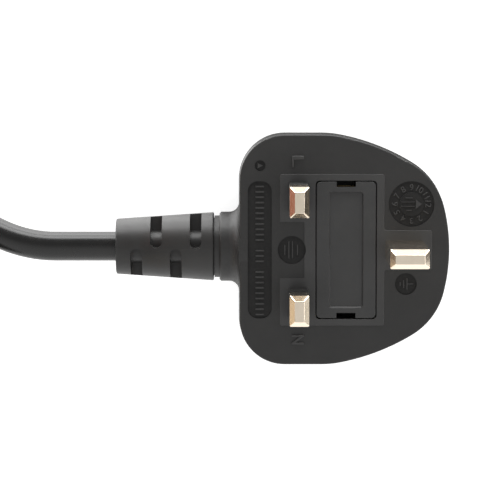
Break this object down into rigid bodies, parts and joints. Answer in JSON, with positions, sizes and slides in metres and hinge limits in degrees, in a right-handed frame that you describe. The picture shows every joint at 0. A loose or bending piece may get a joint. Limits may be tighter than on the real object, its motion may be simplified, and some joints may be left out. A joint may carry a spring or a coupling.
{
  "type": "uk three pin plug",
  "caption": "Moulded mains plug with rectangular pins, a fuse carrier that pries out between them, a slotted strain relief and its lead, wound up, to an appliance connector.",
  "frame": {"origin": "on the flat back face, under the middle of the pin pattern", "axes": "+Z along the pins, +X from the cord towards the earth pin, +Y towards the live pin"},
  "size_m": [0.226, 0.0733, 0.0417],
  "materials": {
    "body_pvc": "fine moulded grain, matt black",
    "insert_plastic": "smooth black",
    "carrier_plastic": "smooth black",
    "sleeve_plastic": "satin black",
    "plated_pin": "nickel plated brass, softly polished",
    "clip_brass": "bright rolled brass",
    "fuse_cap_metal": "plated cup",
    "fuse_ceramic": "unglazed off white ceramic",
    "copper": "bare copper",
    "relief_pvc": "satin black",
    "cord_pvc": "satin black sheath",
    "tie_plastic": "flat plastic ribbon",
    "neutral_insulation": "blue",
    "live_insulation": "brown",
    "earth_insulation": "green with a yellow stripe"
  },
  "bodies": {
    "plug": {"plug_body": "body_pvc", "pin_bridge": "insert_plastic", "bridge_cover": "insert_plastic", "live_pin": "plated_pin", "neutral_pin": "plated_pin", "earth_pin": "plated_pin", "live_sleeve": "sleeve_plastic", "neutral_sleeve": "sleeve_plastic", "live_fuse_clip": "clip_brass", "load_fuse_clip": "clip_brass", "neutral_terminal": "clip_brass", "earth_terminal": "clip_brass", "strain_relief": "relief_pvc", "mains_cord": "cord_pvc", "cord_hank": "cord_pvc", "cord_tail": "cord_pvc", "upper_hank_tie": "tie_plastic", "lower_hank_tie": "tie_plastic", "connector_body": "body_pvc", "connector_insert": "insert_plastic", "connector_relief": "relief_pvc", "neutral_core": "neutral_insulation", "live_core": "live_insulation", "earth_core": "earth_insulation", "neutral_copper": "copper", "live_copper": "copper", "earth_copper": "copper", "live_contact": "clip_brass", "neutral_contact": "clip_brass", "earth_contact": "clip_brass"},
    "fuse_holder": {"fuse_carrier": "carrier_plastic", "fuse_tube": "fuse_ceramic", "live_fuse_cap": "fuse_cap_metal", "load_fuse_cap": "fuse_cap_metal", "fuse_wire": "copper"}
  },
  "joints": [
    {"name": "carrier_lift", "type": "slide", "parent": "plug", "child": "fuse_holder", "axis": [0, 0, 1], "range_m": [0, 0.034]}
  ]
}
